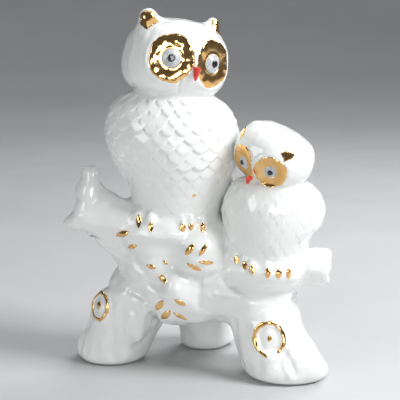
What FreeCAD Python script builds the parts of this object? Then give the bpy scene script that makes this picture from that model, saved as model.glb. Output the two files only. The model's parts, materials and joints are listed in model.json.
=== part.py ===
"""Porcelain owl figurine: a large and a small owl on an arched tree stump.

Seven slip castings are luted together and glazed. Fired-on gold, grey, black and red films sit
on the glaze. Millimetres, +Z up, front towards -Y, origin at the middle of the footprint on
the surface that the roots stand on.
"""
import FreeCAD, Part
import os

doc = FreeCAD.newDocument("OwlFigurine")
sheet = doc.addObject("Spreadsheet::Sheet", "Sizes")

# ---------------------------------------------------------------- driving dimensions

SIZES = {
    "wall": 3.0,                  # thickness of a slip-cast wall
    "film": 0.4,                  # height of a fired-on film, thickened so that it is a solid
    "reach": 60.0,                # how far a brushed outline is carried towards the surface
    "floor_side": 160.0,          # side of the block that trims the feet flat
    "shift_x": 0.2,               # centres the footprint on the origin
    "shift_y": 0.1,
    "vent_radius": 2.4,           # kiln vent in the roof of the arch
    "throat_radius": 4.6,         # opening from casting to casting
    "knot_band": 1.1,             # width of the gold line round a knot
}

# Each form is a loft through ellipses: centre x, y, z, half width (or half height when the
# form lies along X) and half depth.
AXES = ("x", "y", "z", "w", "d")
UPRIGHT = {
    "large_body": [
        (-8.6, 2.0, 46.0, 15.6, 13.6),
        (-8.6, 2.0, 55.0, 16.2, 14.8),
        (-8.8, 2.0, 63.0, 17.2, 16.0),
        (-9.2, 2.0, 71.0, 19.4, 17.4),
        (-9.7, 2.0, 80.0, 22.4, 19.0),
        (-9.9, 2.0, 88.0, 24.0, 19.4),
        (-10.6, 1.9, 95.0, 22.0, 17.8),
        (-10.2, 1.7, 100.0, 17.8, 14.8),
        (-9.2, 1.5, 103.4, 12.0, 11.0),
    ],
    "small_body": [
        (26.4, -8.0, 34.0, 12.2, 10.8),
        (26.6, -8.0, 42.0, 13.4, 12.6),
        (27.2, -8.0, 50.0, 15.8, 14.2),
        (27.8, -8.0, 58.0, 17.0, 14.8),
        (27.4, -8.4, 65.0, 15.4, 13.4),
        (26.6, -9.0, 70.0, 12.0, 11.0),
        (26.4, -9.2, 72.4, 9.0, 8.4),
    ],
    "left_root": [
        (-14.6, 1.0, 41.0, 14.2, 12.6),
        (-21.5, 2.4, 28.0, 13.8, 13.0),
        (-27.2, 4.0, 17.0, 13.9, 11.6),
        (-31.8, 5.0, 7.0, 13.0, 10.8),
        (-33.6, 5.4, -4.0, 13.6, 11.0),
    ],
    "right_root": [
        (12.0, -3.0, 36.0, 14.6, 13.4),
        (21.0, -7.0, 26.0, 13.4, 12.6),
        (25.0, -10.5, 16.0, 12.9, 12.2),
        (30.0, -13.0, 6.0, 13.9, 12.4),
        (34.0, -14.0, -4.0, 14.6, 12.6),
    ],
    "rear_root": [
        (-2.0, 6.0, 36.0, 13.0, 10.6),
        (0.0, 12.0, 23.0, 11.4, 9.4),
        (2.0, 16.0, 12.0, 10.0, 8.4),
        (3.0, 18.0, 3.0, 10.4, 7.9),
        (3.2, 18.4, -4.0, 10.8, 8.0),
    ],
    "upright_stub": [
        (-39.4, -2.0, 55.0, 4.8, 4.8),
        (-39.5, -2.0, 62.0, 4.5, 4.5),
        (-39.2, -2.0, 68.0, 4.0, 4.0),
        (-38.9, -2.0, 72.0, 2.9, 2.8),
        (-38.8, -2.0, 73.6, 1.6, 1.6),
    ],
}
LYING = {
    "trunk": [
        (-27.0, 0.6, 49.0, 8.0, 8.4),
        (-19.0, 0.6, 42.4, 16.6, 14.4),
        (-8.0, 0.4, 39.4, 21.4, 16.4),
        (5.0, -1.6, 37.4, 18.8, 16.0),
        (18.0, -5.0, 34.8, 13.6, 14.0),
        (30.0, -7.0, 35.6, 9.6, 10.6),
        (35.6, -7.5, 36.8, 6.0, 6.8),
    ],
    "right_branch": [
        (28.0, -6.8, 36.2, 8.2, 8.8),
        (38.0, -7.8, 37.4, 7.6, 7.6),
        (43.0, -8.0, 38.2, 6.6, 6.8),
        (48.0, -8.2, 38.6, 6.2, 6.4),
    ],
    "bough": [
        (-19.0, 0.8, 48.4, 10.0, 11.0),
        (-27.0, 0.0, 52.6, 9.0, 9.4),
        (-35.0, -1.2, 54.2, 7.6, 7.8),
        (-41.5, -2.0, 53.8, 5.8, 6.2),
        (-46.0, -2.2, 52.6, 3.8, 4.0),
        (-48.4, -2.3, 52.0, 1.6, 1.6),
    ],
}

# A head is a loft through ellipses in its own frame: height, half width and half depth.
HEAD = {
    "large_head": [
        (-14.6, 10.0, 9.4),
        (-12.2, 14.6, 13.0),
        (-7.5, 17.9, 15.8),
        (-1.0, 19.0, 16.6),
        (5.5, 18.4, 15.8),
        (10.2, 15.4, 13.4),
        (12.7, 10.8, 9.4),
        (13.8, 4.0, 3.6),
    ],
    "small_head": [
        (-10.8, 7.0, 6.6),
        (-9.0, 10.4, 9.7),
        (-5.2, 13.0, 11.8),
        (-0.5, 13.9, 12.4),
        (4.0, 13.4, 11.8),
        (7.4, 11.0, 9.6),
        (9.1, 7.4, 6.4),
        (9.9, 3.0, 2.8),
    ],
}

# Centre x, y, z, then turn about Z, tilt to the side and nod, in degrees.
POSE = {
    "large_head": (-8.2, 1.0, 112.4, 24.0, 8.0, 0.0),
    "small_head": (26.6, -10.0, 79.0, -35.0, 18.0, 8.0),
}

# Sizes of what each face carries. Angles are measured from the middle of the face.
FACE = {
    "large": {
        "disc_angle": 28.0, "disc_rise": 0.6, "disc_w": 7.6, "disc_h": 8.3, "iris": 3.3,
        "pupil": 1.4, "beak_x": 0.6, "beak_y": -17.4, "beak_rise": -3.8, "beak_w": 1.5, "beak_d": 2.0,
        "beak_h": 2.4, "ear_x": 12.6, "ear_y": 0.6, "ear_rise": 10.0, "ear_w": 4.6,
        "ear_d": 3.4, "ear_h": 6.6, "lining_w": 3.0, "lining_h": 3.8,
    },
    "small": {
        "disc_angle": 29.0, "disc_rise": -0.4, "disc_w": 5.8, "disc_h": 6.2, "iris": 2.2,
        "pupil": 0.95, "beak_x": 0.0, "beak_y": -13.2, "beak_rise": -3.6, "beak_w": 1.1, "beak_d": 1.5,
        "beak_h": 1.7, "ear_x": 8.4, "ear_y": -2.6, "ear_rise": 6.8, "ear_w": 3.2,
        "ear_d": 2.6, "ear_h": 4.4, "lining_w": 2.2, "lining_h": 2.4,
    },
}

# Ellipsoids that fill out a casting: centre x, y, z and radii along x, y, z.
SWELL_AXES = ("x", "y", "z", "rx", "ry", "rz")
SWELLS = {
    "trunk_shoulder": (-9.4, -2.6, 52.0, 19.4, 14.4, 9.0),
    "log_shoulder": (24.0, -9.4, 39.6, 13.6, 13.6, 7.4),
    "brow": (-3.4, -6.4, 26.8, 17.0, 9.8, 10.0),
    "burl": (-1.0, -10.6, 46.0, 9.6, 8.4, 8.4),
    "large_right_wing": (-26.6, 5.0, 83.0, 6.6, 12.6, 14.0),
    "large_left_wing": (7.4, 5.0, 82.0, 6.8, 12.6, 15.0),
    "large_tail": (-9.2, 15.4, 62.0, 8.6, 5.6, 14.0),
    "small_right_wing": (15.4, -5.4, 56.0, 4.6, 9.6, 10.6),
    "small_left_wing": (40.4, -5.4, 56.6, 4.8, 9.6, 10.6),
    "small_tail": (27.6, 3.2, 44.0, 6.6, 4.2, 8.6),
}

# Brush marks on the stump, seen from the front: x, z, half length, half width and slant.
MARK_AXES = ("x", "z", "long", "wide", "slant")
MARKS = {
    "bough_leaves": [(-26.0, 51.6, 2.3, 0.9, 25.0), (-23.6, 47.0, 1.8, 0.7, 28.0)],
    "middle_leaves": [
        (-16.8, 40.4, 1.7, 0.8, -15.0),
        (-11.8, 42.0, 1.3, 0.6, -45.0),
        (-12.8, 36.2, 1.9, 1.2, -40.0),
    ],
    "upper_sprig": [
        (-3.2, 47.6, 2.3, 0.95, 55.0),
        (1.6, 47.8, 2.5, 0.75, 55.0),
        (-1.7, 41.2, 3.0, 0.95, -27.0),
        (2.6, 43.0, 2.5, 0.8, -12.0),
    ],
    "lower_sprig": [
        (-14.0, 26.0, 2.5, 0.95, 55.0),
        (-11.8, 22.4, 2.5, 1.2, 48.0),
        (-6.6, 28.2, 3.0, 0.6, -34.0),
        (-6.6, 22.2, 2.2, 0.75, -30.0),
    ],
    "large_owl_right_claws": [
        (-21.2, 56.8, 1.6, 0.8, 75.0),
        (-16.8, 55.8, 1.6, 0.8, 80.0),
    ],
    "large_owl_left_claws": [
        (-5.6, 54.8, 1.2, 1.0, 90.0),
        (-2.7, 55.0, 1.3, 0.9, 90.0),
        (1.4, 55.4, 1.4, 0.8, 80.0),
    ],
    "small_owl_right_claws": [
        (13.2, 43.8, 1.4, 0.8, 90.0),
        (16.0, 42.6, 1.2, 0.85, 90.0),
        (18.4, 41.4, 1.5, 0.95, 90.0),
    ],
    "small_owl_left_claws": [
        (23.8, 40.6, 1.6, 0.8, 100.0),
        (27.7, 40.0, 1.6, 0.9, 95.0),
        (31.2, 39.4, 1.6, 0.7, 90.0),
    ],
}

# Knots: the point that the brush circles round, its turn about Z, and the two radii.
KNOT_AXES = ("x", "y", "z", "turn", "rx", "rz", "dot")
KNOTS = {
    "left_knot": (-33.2, 0.2, 23.9, -40.0, 4.7, 5.5, 1.2),
    "right_knot": (22.9, -10.0, 16.6, 8.0, 5.6, 6.4, 0.9),
}
SPECK = (-1.6, 66.0, 0.7)         # stray gold on the breast: x, z and radius


# ---------------------------------------------------------------- the sheet

def name_rows(label, rows, axes):
    for n, row in enumerate(rows):
        for axis, value in zip(axes, row):
            SIZES[f"{label}_{n}_{axis}"] = value


def name_row(label, row, axes):
    for axis, value in zip(axes, row):
        SIZES[f"{label}_{axis}"] = value


for form, stations in list(UPRIGHT.items()) + list(LYING.items()):
    name_rows(form, stations, AXES)
for form, rings in HEAD.items():
    name_rows(form, rings, ("rise", "w", "d"))
    name_row(form, POSE[form], ("x", "y", "z", "turn", "tilt", "nod"))
for owl, parts_of_face in FACE.items():
    name_row(owl, parts_of_face.values(), parts_of_face.keys())
for form, radii in SWELLS.items():
    name_row(form, radii, SWELL_AXES)
for group, marks in MARKS.items():
    name_rows(group, marks, MARK_AXES)
for knot, place in KNOTS.items():
    name_row(knot, place, KNOT_AXES)
name_row("speck", SPECK, ("x", "z", "r"))

for line, (alias, value) in enumerate(SIZES.items(), start=1):
    sheet.set(f"A{line}", alias)
    sheet.set(f"B{line}", str(value))
    sheet.setAlias(f"B{line}", alias)
doc.recompute()


# ---------------------------------------------------------------- building blocks

def bind(thing, **formulas):
    """Binds properties of an object to formulas of the sheet."""
    for prop, formula in formulas.items():
        thing.setExpression(prop, formula)
    return thing


def S(alias):
    return "Sizes." + alias


def spot(x, y, z, turn="0", tilt="0", nod="0"):
    """A placement formula: position, then turn about Z, tilt about Y and nod about X."""
    return f"placement(vector({x}; {y}; {z}); rotation({turn}; {tilt}; {nod}))"


def where(x, y, z):
    """The same, shifted with the whole figurine."""
    return spot(f"{x} + Sizes.shift_x", f"{y} + Sizes.shift_y", z)


def ring(name, place, w, d, upright, wide):
    """An ellipse of half width w and half depth d. FreeCAD wants the larger radius first."""
    ellipse = doc.addObject("Part::Ellipse", name)
    major, minor = (w, d) if wide else (d, w)
    if upright:
        turned = spot("0", "0", "0", "0" if wide else "90")
    else:
        turned = spot("0", "0", "0", "0", "90") + " * " + spot("0", "0", "0", "0" if wide else "90")
    return bind(ellipse, MajorRadius=major, MinorRadius=minor, Placement=f"{place} * {turned}")


def loft(name, rings):
    form = doc.addObject("Part::Loft", name)
    form.Sections = rings
    form.Solid = True
    return form


def station_form(label, grow, first=0, last=None, tag=""):
    """The loft of a form's stations, every radius grown by a formula."""
    upright = label in UPRIGHT
    rows = UPRIGHT[label] if upright else LYING[label]
    last = len(rows) if last is None else last
    rings = []
    for n in range(first, last):
        key = S(f"{label}_{n}_")
        rings.append(ring(
            f"{label}_{tag}ring_{n}",
            where(key + "x", key + "y", key + "z"),
            f"{key}w + {grow}",
            f"{key}d + {grow}",
            upright,
            rows[n][3] >= rows[n][4],
        ))
    return loft(f"{label}_{tag}form", rings)


def head_place(head):
    key = S(head + "_")
    turned = spot("0", "0", "0", key + "turn", key + "tilt", key + "nod")
    return f"{where(key + 'x', key + 'y', key + 'z')} * {turned}"


def head_form(head, grow, tag="", first=0, last=None):
    rings = []
    for n in range(first, len(HEAD[head]) if last is None else last):
        key = S(f"{head}_{n}_")
        rings.append(ring(
            f"{head}_{tag}ring_{n}",
            f"{head_place(head)} * {spot('0', '0', key + 'rise')}",
            f"{key}w + {grow}",
            f"{key}d + {grow}",
            True,
            True,
        ))
    return loft(f"{head}_{tag}form", rings)


def ellipsoid(name, place, rx, ry, rz):
    form = doc.addObject("Part::Ellipsoid", name)
    return bind(form, Radius1=rz, Radius2=rx, Radius3=ry, Placement=place)


def swell(label, grow="0", tag=""):
    key = S(label + "_")
    return ellipsoid(
        f"{label}_{tag}form",
        where(key + "x", key + "y", key + "z"),
        f"{key}rx + {grow}",
        f"{key}ry + {grow}",
        f"{key}rz + {grow}",
    )


def rod(name, place, radius, length):
    form = doc.addObject("Part::Cylinder", name)
    return bind(form, Radius=radius, Height=length, Placement=place)


def fuse(name, forms):
    if len(forms) == 1:
        return forms[0]
    joined = doc.addObject("Part::MultiFuse", name)
    joined.Shapes = forms
    return joined


def fuse_in_turn(name, forms):
    """Adds the forms one after another, which suits many smooth forms that cross."""
    joined = forms[0]
    for n, form in enumerate(forms[1:], start=1):
        step = doc.addObject("Part::Fuse", f"{name}_{n}")
        step.Base = joined
        step.Tool = form
        joined = step
    return joined


def cut(name, base, tool):
    left = doc.addObject("Part::Cut", name)
    left.Base = base
    left.Tool = tool
    return left


def common(name, base, tool):
    both = doc.addObject("Part::Common", name)
    both.Base = base
    both.Tool = tool
    return both


def above_floor(name, form):
    """Trims the feet flat at the height they stand on."""
    block = doc.addObject("Part::Box", name + "_floor")
    half = "Sizes.floor_side / 2"
    bind(block, Length=S("floor_side"), Width=S("floor_side"), Height=S("floor_side"))
    bind(block, Placement=spot(f"-({half})", f"-({half})", "0"))
    return common(name, form, block)


# ---------------------------------------------------------------- the castings

NODES = {}                        # node name: document object


def node(name, thing):
    thing.Label = name
    NODES[name] = thing
    return thing


def casting(name, outline, *tools):
    """A casting: its outline less each neighbour it is luted to and less its hollow."""
    left = outline
    for n, tool in enumerate(tools[:-1]):
        left = cut(f"{name}_step_{n}", left, tool)
    return node(name, cut(name, left, tools[-1]))


BASE_FORMS = ["trunk", "left_root", "right_root", "rear_root"]
BASE_SWELLS = ["trunk_shoulder", "log_shoulder", "brow", "burl"]


def base_outline(grow, tag):
    forms = [station_form(label, grow, tag=tag) for label in BASE_FORMS]
    forms += [swell(label, grow, tag) for label in BASE_SWELLS]
    return fuse_in_turn(f"base_{tag}outline", forms)


base_outer = above_floor("base_outer", base_outline("0", ""))
inward = "(-Sizes.wall)"
cavity_forms = [
    station_form("trunk", inward, 1, 7, "hollow_"),
    station_form("left_root", inward, 0, 4, "hollow_"),
    station_form("right_root", inward, 0, 4, "hollow_"),
    station_form("rear_root", inward, 0, 4, "hollow_"),
]
arch_vent = rod(
    "arch_vent",
    where("0", "-2", "14"),
    S("vent_radius"),
    "16",
)
large_throat = rod("large_throat", where("-7.4", "1.3", "43"), S("throat_radius"), "26")
small_throat = rod("small_throat", where("26", "-7.4", "33"), S("throat_radius"), "22")
casting("root_base", base_outer, *cavity_forms, arch_vent, large_throat, small_throat)

bough_outer = fuse("bough_outer", [station_form("bough", "0"), station_form("upright_stub", "0")])
bough_hollow = station_form("bough", inward, 0, 4, "hollow_")
casting("left_branch", bough_outer, base_outer, bough_hollow)

stub_outer = station_form("right_branch", "0")
stub_hollow = station_form("right_branch", inward, 0, 3, "hollow_")
casting("right_branch", stub_outer, base_outer, stub_hollow)


def owl_outline(owl):
    forms = [station_form(f"{owl}_body", "0")]
    for swelling in ("right_wing", "left_wing", "tail"):
        forms.append(swell(f"{owl}_{swelling}"))
    return fuse(f"{owl}_body_outline", forms)


def neck(owl, x, y, z, length):
    return rod(f"{owl}_neck", where(x, y, z), S("throat_radius"), length)


large_outline = owl_outline("large")
small_outline = owl_outline("small")
large_neck = neck("large", "-9.2", "1.6", "94", "14")
small_neck = neck("small", "26.4", "-9.2", "64", "12")
large_hollow = fuse("large_hollow", [
    station_form("large_body", inward, 0, 8, "hollow_"),
    large_neck,
])
small_hollow = fuse("small_hollow", [
    station_form("small_body", inward, 0, 6, "hollow_"),
    small_neck,
])
casting("large_owl_body", large_outline, base_outer, large_hollow)
casting("small_owl_body", small_outline, base_outer, large_outline, small_hollow)


def ear(owl, side, name):
    """An ear tuft: a flattened ellipsoid leaning outward on the head."""
    key = S(owl + "_")
    place = spot(f"{side} * {key}ear_x", key + "ear_y", key + "ear_rise", "0", f"{side} * 24")
    return ellipsoid(
        name,
        f"{head_place(owl + '_head')} * {place}",
        key + "ear_w",
        key + "ear_d",
        key + "ear_h",
    )


SIDES = {"right": -1, "left": 1}  # the owl's own right is at -X when it faces -Y


def head_outline(owl):
    forms = [head_form(f"{owl}_head", "0")]
    for side, sign in SIDES.items():
        forms.append(ear(owl, sign, f"{owl}_{side}_ear"))
    return fuse(f"{owl}_head_outline", forms)


large_head_outline = head_outline("large")
small_head_outline = head_outline("small")
large_head_hollow = head_form("large_head", inward, "hollow_", 1, 6)
small_head_hollow = head_form("small_head", inward, "hollow_", 1, 6)
large_head_hollow = fuse("large_head_hollow", [large_head_hollow, large_neck])
small_head_hollow = fuse("small_head_hollow", [small_head_hollow, small_neck])
casting("large_owl_head", large_head_outline, large_outline, large_head_hollow)
casting("small_owl_head", small_head_outline, small_outline, large_outline, small_head_hollow)


# ---------------------------------------------------------------- films on the heads

def brush(name, place, w, d):
    """A solid bar with an elliptic section along local Z: the reach of a brush mark."""
    ends = []
    for n, away in enumerate(("0", S("reach"))):
        end = doc.addObject("Part::Ellipse", f"{name}_end_{n}")
        bind(end, MajorRadius=w, MinorRadius=d, Placement=f"{place} * {spot('0', '0', away)}")
        ends.append(end)
    bar = loft(name, ends)
    bar.Ruled = True
    return bar


def film(name, marks, skin, under):
    """The part of a skin inside each mark and above the form under it, one solid to a mark."""
    return gather(name, lay(name, marks, skin, under))


def lay(name, marks, skin, under):
    films = []
    for n, mark in enumerate(marks):
        films.append(cut(f"{name}_film_{n}", common(f"{name}_skin_{n}", skin, mark), under))
    return films


def gather(name, films):
    if len(films) == 1:
        return node(name, films[0])
    group = doc.addObject("Part::Compound", name)
    group.Links = films
    return node(name, group)


for owl, outline in (("large", large_head_outline), ("small", small_head_outline)):
    key = S(owl + "_")
    skin = head_form(f"{owl}_head", S("film"), "skin_")
    face = head_place(f"{owl}_head")
    for side, sign in SIDES.items():
        # Local Z of a mark points out of the face, its long axis is upright.
        turned = spot("0", "0", key + "disc_rise", f"{sign} * {key}disc_angle")
        aim = f"{face} * {turned} * {spot('0', '0', '0', '0', '0', '90')}"
        upright = f"{aim} * {spot('0', '0', '0', '90')}"
        disc = brush(f"{owl}_{side}_disc_bar", upright, key + "disc_h", key + "disc_w")
        name = f"{owl}_owl_{side}"
        iris = rod(f"{owl}_{side}_iris_bar", aim, key + "iris", S("reach"))
        pupil = rod(f"{owl}_{side}_pupil_bar", aim, key + "pupil", S("reach"))
        film(f"{name}_eye_disc", [cut(f"{name}_disc_ring", disc, iris)], skin, outline)
        film(f"{name}_eye_white", [cut(f"{name}_iris_ring", iris, pupil)], skin, outline)
        film(f"{name}_pupil", [pupil], skin, outline)

        # The lining follows the front of the ear tuft.
        tuft = doc.getObject(f"{owl}_{side}_ear")
        ear_at = spot(f"{sign} * {key}ear_x", key + "ear_y", key + "ear_rise", "0", f"{sign} * 24")
        grown = ellipsoid(
            f"{owl}_{side}_ear_skin",
            f"{face} * {ear_at}",
            f"{key}ear_w + Sizes.film",
            f"{key}ear_d + Sizes.film",
            f"{key}ear_h + Sizes.film",
        )
        mark_at = f"{face} * {ear_at} * {spot('0', '0', '1.2', '0', '0', '90')} * {spot('0', '0', '0', '90')}"
        mark = brush(f"{owl}_{side}_lining_bar", mark_at, key + "lining_h", key + "lining_w")
        film(f"{name}_ear_gold", [mark], grown, outline)

    beak_at = f"{face} * {spot(key + 'beak_x', key + 'beak_y', key + 'beak_rise')}"
    beak = ellipsoid(f"{owl}_beak_form", beak_at, key + "beak_w", key + "beak_d", key + "beak_h")
    node(f"{owl}_owl_beak", cut(f"{owl}_owl_beak", beak, outline))


# ---------------------------------------------------------------- films on the stump

base_skin = base_outline(S("film"), "skin_")


def front_mark(name, key):
    """A leaf-shaped or drop-shaped mark brushed from the front."""
    at = f"{where(key + 'x', '-4', key + 'z')} * {spot('0', '0', '0', '0', '0', '90')}"
    slanted = f"{at} * {spot('0', '0', '0', key + 'slant')}"
    return brush(name, slanted, key + "long", key + "wide")


bough_skin = cut("bough_skin", station_form("bough", S("film"), tag="skin_"), base_outer)
for group, marks in MARKS.items():
    bars = [front_mark(f"{group}_mark_{n}", S(f"{group}_{n}_")) for n in range(len(marks))]
    if group == "bough_leaves":
        # The first leaf is on the bough's own casting, the second where it joins the trunk.
        films = lay(group + "_bough", bars[:1], bough_skin, bough_outer)
        gather(group, films + lay(group, bars[1:], base_skin, base_outer))
    else:
        film(group, bars, base_skin, base_outer)

for knot in KNOTS:
    key = S(knot + "_")
    aim = f"{where(key + 'x', key + 'y', key + 'z')} * {spot('0', '0', '0', key + 'turn', '0', '90')}"
    upright = f"{aim} * {spot('0', '0', '0', '90')}"
    outside = brush(f"{knot}_outside", upright, key + "rz", key + "rx")
    inside = brush(
        f"{knot}_inside",
        upright,
        f"{key}rz - Sizes.knot_band",
        f"{key}rx - Sizes.knot_band",
    )
    dot = rod(f"{knot}_dot_bar", aim, key + "dot", S("reach"))
    film(f"{knot}_ring", [cut(f"{knot}_band", outside, inside)], base_skin, base_outer)
    film(f"{knot}_dot", [dot], base_skin, base_outer)

body_skin = station_form("large_body", S("film"), 0, None, "skin_")
speck_at = f"{where(S('speck_x'), '-4', S('speck_z'))} * {spot('0', '0', '0', '0', '0', '90')}"
speck = rod("speck_bar", speck_at, S("speck_r"), S("reach"))
film("breast_dot", [speck], body_skin, large_outline)


# ---------------------------------------------------------------- checks and export

doc.recompute()
os.makedirs("parts", exist_ok=True)

faults = [thing.Name for thing in doc.Objects if {"Invalid", "Error"} & set(thing.State)]
if faults:
    raise RuntimeError(f"not computed: {faults}")

low = [1e9, 1e9, 1e9]
high = [-1e9, -1e9, -1e9]
for name, thing in NODES.items():
    shape = thing.Shape
    if shape.isNull() or not shape.isValid() or not shape.Solids:
        raise RuntimeError(f"{name} has no valid solid")
    box = shape.optimalBoundingBox(True)
    low = [min(a, b) for a, b in zip(low, (box.XMin, box.YMin, box.ZMin))]
    high = [max(a, b) for a, b in zip(high, (box.XMax, box.YMax, box.ZMax))]
    print(f"{name:24s} solids {len(shape.Solids)} volume {shape.Volume:9.2f} "
          f"x {box.XMin:7.2f} {box.XMax:7.2f} y {box.YMin:7.2f} {box.YMax:7.2f} "
          f"z {box.ZMin:7.2f} {box.ZMax:7.2f}")
    shape.exportStep(f"parts/{name}.step")
print("nodes", len(NODES), "box", [round(v, 3) for v in low], [round(v, 3) for v in high])
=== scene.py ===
"""Looks of the porcelain owl figurine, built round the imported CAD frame.

The glazed castings are sculpted as one signed distance field in millimetres, so that the glaze
runs softly over every joint, and are then cut into one closed mesh for each casting. Gold, enamel
and eye films are thin bodies laid on that surface where their CAD nodes are.
"""
import json
import math

import bmesh
import bpy
import numpy as np
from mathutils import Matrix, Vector
from mathutils.bvhtree import BVHTree


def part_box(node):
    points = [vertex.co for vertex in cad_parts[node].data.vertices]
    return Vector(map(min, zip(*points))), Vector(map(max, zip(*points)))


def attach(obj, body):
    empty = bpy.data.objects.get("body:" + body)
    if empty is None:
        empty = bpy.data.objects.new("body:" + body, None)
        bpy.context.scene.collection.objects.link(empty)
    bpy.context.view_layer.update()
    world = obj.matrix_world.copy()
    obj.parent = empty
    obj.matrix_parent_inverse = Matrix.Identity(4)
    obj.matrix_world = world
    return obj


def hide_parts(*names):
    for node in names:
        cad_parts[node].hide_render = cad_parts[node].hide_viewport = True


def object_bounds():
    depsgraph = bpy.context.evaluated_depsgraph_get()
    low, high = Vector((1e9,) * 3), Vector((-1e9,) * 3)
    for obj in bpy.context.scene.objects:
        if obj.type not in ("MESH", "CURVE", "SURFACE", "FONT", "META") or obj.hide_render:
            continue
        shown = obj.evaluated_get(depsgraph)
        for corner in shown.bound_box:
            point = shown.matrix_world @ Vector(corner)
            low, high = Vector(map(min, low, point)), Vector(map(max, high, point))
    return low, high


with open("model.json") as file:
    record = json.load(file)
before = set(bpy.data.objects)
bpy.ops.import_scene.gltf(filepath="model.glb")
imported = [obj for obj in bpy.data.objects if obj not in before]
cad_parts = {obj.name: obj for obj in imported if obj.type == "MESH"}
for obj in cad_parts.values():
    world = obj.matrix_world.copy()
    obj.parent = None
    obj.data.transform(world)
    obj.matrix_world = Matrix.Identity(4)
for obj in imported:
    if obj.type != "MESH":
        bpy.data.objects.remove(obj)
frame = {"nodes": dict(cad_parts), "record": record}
cad_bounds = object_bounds()
MM = 1000.0
VOXEL = 0.5


# ---------------------------------------------------------------- where the CAD nodes are

def node_box(name):
    low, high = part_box(name)
    return np.array(low) * MM, np.array(high) * MM


def node_mid(name):
    low, high = node_box(name)
    return (low + high) / 2


def node_marks(name):
    """Middle of each separate solid of a CAD node, from left to right."""
    mesh = bmesh.new()
    mesh.from_mesh(frame["nodes"][name].data)
    bmesh.ops.remove_doubles(mesh, verts=mesh.verts, dist=1e-5)
    left = set(mesh.verts)
    mids = []
    while left:
        stack = [left.pop()]
        found = []
        while stack:
            vert = stack.pop()
            found.append(tuple(vert.co))
            for edge in vert.link_edges:
                other = edge.other_vert(vert)
                if other in left:
                    left.discard(other)
                    stack.append(other)
        spots = np.array(found) * MM
        mids.append((spots.min(0) + spots.max(0)) / 2)
    mesh.free()
    return sorted(mids, key=lambda mid: mid[0])


class Home:
    """The forms of a casting are written for a CAD node with this middle, and follow the node."""

    def __init__(self, node, written_for):
        self.shift = node_mid(node) - np.array(written_for)

    def at(self, x, y, z):
        return np.array((x, y, z)) + self.shift


# ---------------------------------------------------------------- distance fields

def turn_matrix(turn, tilt=0.0, nod=0.0):
    """Turn about Z, then tilt about Y, then nod about X, in degrees."""
    a, b, c = (math.radians(v) for v in (turn, tilt, nod))
    about_z = np.array([[math.cos(a), -math.sin(a), 0], [math.sin(a), math.cos(a), 0], [0, 0, 1]])
    about_y = np.array([[math.cos(b), 0, math.sin(b)], [0, 1, 0], [-math.sin(b), 0, math.cos(b)]])
    about_x = np.array([[1, 0, 0], [0, math.cos(c), -math.sin(c)], [0, math.sin(c), math.cos(c)]])
    return about_z @ about_y @ about_x


def soft_min(a, b, k):
    h = np.maximum(k - np.abs(a - b), 0.0) / k
    return np.minimum(a, b) - h * h * k * 0.25


def soft_max(a, b, k):
    return -soft_min(-a, -b, k)


def ball(p, centre, radii, matrix=None, power=2.0):
    """Rounded box to ellipsoid: the superellipsoid of that power."""
    q = p - centre
    if matrix is not None:
        q = q @ matrix
    q = np.abs(q) / np.asarray(radii) + 1e-6
    reach = (q ** power).sum(1) ** (1.0 / power)
    slope = ((q / reach[:, None]) ** (power - 1) / np.asarray(radii))
    return (reach - 1.0) / np.sqrt((slope ** 2).sum(1))


def limb(p, a, b, ra, rb):
    """A tapered capsule from a to b."""
    a, b = np.asarray(a), np.asarray(b)
    axis = b - a
    t = np.clip(((p - a) @ axis) / (axis @ axis), 0.0, 1.0)
    return np.linalg.norm(p - a - t[:, None] * axis, axis=1) - (ra + (rb - ra) * t)


def smooth_track(stations):
    """Values and slopes of a smooth curve through the stations, closely sampled."""
    rows = np.array(stations, dtype=float)
    s, values = rows[:, 0], rows[:, 1:]
    slopes = np.gradient(values, s, axis=0)
    fine = np.linspace(s[0], s[-1], 240)
    k = np.clip(np.searchsorted(s, fine, side="right") - 1, 0, len(s) - 2)
    step = (s[k + 1] - s[k])[:, None]
    t = ((fine - s[k]) / (s[k + 1] - s[k]))[:, None]
    curve = ((2 * t ** 3 - 3 * t ** 2 + 1) * values[k] + (t ** 3 - 2 * t ** 2 + t) * step * slopes[k]
             + (3 * t ** 2 - 2 * t ** 3) * values[k + 1] + (t ** 3 - t ** 2) * step * slopes[k + 1])
    return fine, curve, np.gradient(curve, fine, axis=0)


class Loft:
    """A form through ellipses, each (place along the axis, two middles, two half widths)."""

    def __init__(self, home, axis, stations, rounding=3.0):
        self.axis = axis
        self.across = [n for n in range(3) if n != axis]
        rows = []
        for row in stations:
            place = home.at(*row[:3])
            rows.append((place[axis], place[self.across[0]], place[self.across[1]], row[3], row[4]))
        self.fine, self.curve, self.slope = smooth_track(sorted(rows))
        self.rounding = rounding

    def __call__(self, p):
        s = p[:, self.axis]
        held = np.clip(s, self.fine[0], self.fine[-1])
        value = [np.interp(held, self.fine, self.curve[:, n]) for n in range(4)]
        slope = [np.interp(held, self.fine, self.slope[:, n]) for n in range(4)]
        u = p[:, self.across[0]] - value[0]
        v = p[:, self.across[1]] - value[1]
        w, d = value[2], value[3]
        reach = np.sqrt((u / w) ** 2 + (v / d) ** 2) + 1e-6
        du = u / (w * w * reach)
        dv = v / (d * d * reach)
        ds = -(du * (slope[0] + u * slope[2] / w) + dv * (slope[1] + v * slope[3] / d))
        side = (reach - 1.0) / np.sqrt(du ** 2 + dv ** 2 + ds ** 2 + 1e-9)
        end = np.maximum(self.fine[0] - s, s - self.fine[-1])
        r = self.rounding
        side_r, end_r = side + r, end + r
        outside = np.sqrt(np.maximum(side_r, 0) ** 2 + np.maximum(end_r, 0) ** 2)
        return outside + np.minimum(np.maximum(side_r, end_r), 0.0) - r


# Repeatable lumpy noise: smooth random values on a lattice.
LATTICE = np.random.RandomState(7).uniform(-1, 1, (32, 32, 32))


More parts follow.
